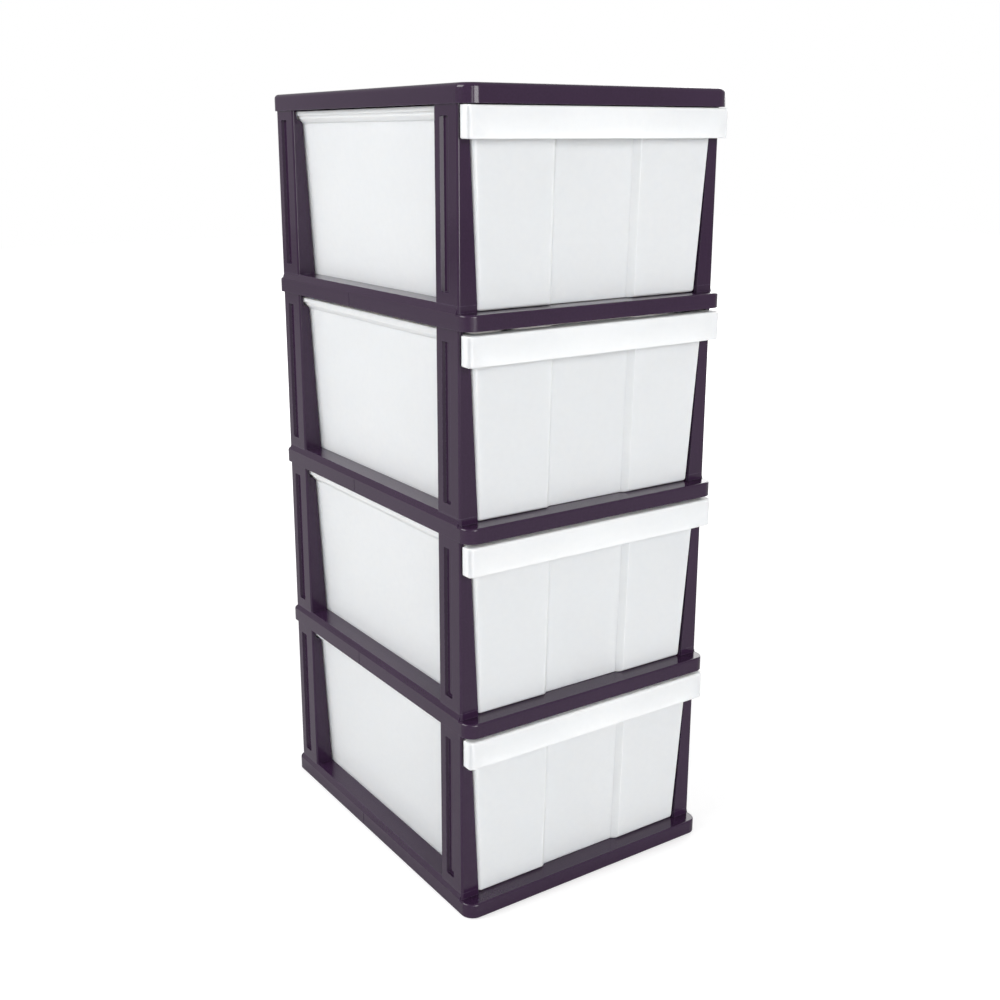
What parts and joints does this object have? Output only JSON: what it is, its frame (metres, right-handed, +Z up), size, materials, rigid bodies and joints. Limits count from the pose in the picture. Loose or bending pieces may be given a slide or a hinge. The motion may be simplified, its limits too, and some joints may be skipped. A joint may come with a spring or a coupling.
{
  "type": "drawer tower",
  "caption": "Free-standing plastic tower of deep pull-out drawers in a knock-down frame of shelf frames, channel posts and a flat top.",
  "frame": {"origin": "on the floor, under the centre of the tower's footprint", "axes": "+X to the tower's right seen from the front, +Y to its back, +Z up; the drawers open towards -Y"},
  "size_m": [0.3, 0.38, 0.7815],
  "materials": {
    "frame": "moulded semi-gloss plastic, dark aubergine brown",
    "drawer": "moulded satin plastic, white",
    "foot": "matt black rubber"
  },
  "bodies": {
    "tower": {"shelf_frame_1": "frame", "shelf_frame_2": "frame", "shelf_frame_3": "frame", "shelf_frame_4": "frame", "top": "frame", "post_1_front_left": "frame", "post_1_front_right": "frame", "post_1_back_left": "frame", "post_1_back_right": "frame", "post_2_front_left": "frame", "post_2_front_right": "frame", "post_2_back_left": "frame", "post_2_back_right": "frame", "post_3_front_left": "frame", "post_3_front_right": "frame", "post_3_back_left": "frame", "post_3_back_right": "frame", "post_4_front_left": "frame", "post_4_front_right": "frame", "post_4_back_left": "frame", "post_4_back_right": "frame", "foot_front_left": "foot", "foot_front_right": "foot", "foot_back_left": "foot", "foot_back_right": "foot"},
    "drawer_1_body": {"drawer_1": "drawer"},
    "drawer_2_body": {"drawer_2": "drawer"},
    "drawer_3_body": {"drawer_3": "drawer"},
    "drawer_4_body": {"drawer_4": "drawer"}
  },
  "joints": [
    {"name": "drawer_1_slide", "type": "slide", "parent": "tower", "child": "drawer_1_body", "axis": [0, -1, 0], "range_m": [0, 0.29]},
    {"name": "drawer_2_slide", "type": "slide", "parent": "tower", "child": "drawer_2_body", "axis": [0, -1, 0], "range_m": [0, 0.29]},
    {"name": "drawer_3_slide", "type": "slide", "parent": "tower", "child": "drawer_3_body", "axis": [0, -1, 0], "range_m": [0, 0.29]},
    {"name": "drawer_4_slide", "type": "slide", "parent": "tower", "child": "drawer_4_body", "axis": [0, -1, 0], "range_m": [0, 0.29]}
  ]
}
